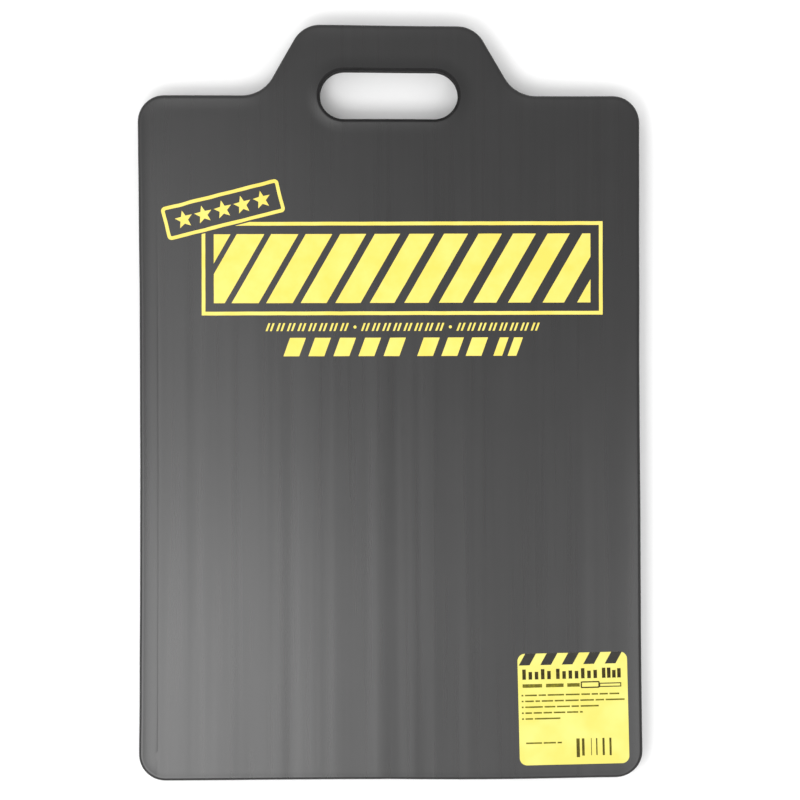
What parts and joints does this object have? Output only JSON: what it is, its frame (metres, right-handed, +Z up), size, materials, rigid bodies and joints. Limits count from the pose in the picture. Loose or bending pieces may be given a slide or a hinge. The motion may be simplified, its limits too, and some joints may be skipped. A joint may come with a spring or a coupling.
{
  "type": "kneeling pad",
  "caption": "Thick closed-cell foam kneeling mat with a carry-handle slot in a tapered tab, rounded edges, printed safety-stripe artwork and a corner label.",
  "frame": {"origin": "middle of the bounding box's bottom face, on the face that the mat lies on", "axes": "+Z up through the thickness, +Y lengthwise towards the carry handle, +X across the width, to the right seen from above with the handle away"},
  "size_m": [0.3556, 0.5334, 0.0257],
  "materials": {
    "foam": "matte moulded skin of dark grey closed-cell rubber foam, faint lengthwise streaks",
    "screen_ink": "satin lemon-yellow screen ink",
    "label_adhesive": "clear pressure-sensitive adhesive",
    "label_stock": "satin yellow label stock",
    "label_ink": "matte black printing ink"
  },
  "bodies": {
    "root": {"foam_mat": "foam", "banner_print": "screen_ink", "stamp_frame_print": "screen_ink", "stamp_stars_print": "screen_ink", "fine_rule_print": "screen_ink", "bold_blocks_print": "screen_ink", "label_adhesive": "label_adhesive", "label_face": "label_stock", "label_stripes_print": "label_ink", "label_heading_print": "label_ink", "label_text_print": "label_ink", "label_barcode_print": "label_ink", "label_pictogram_print": "label_ink"}
  },
  "joints": []
}
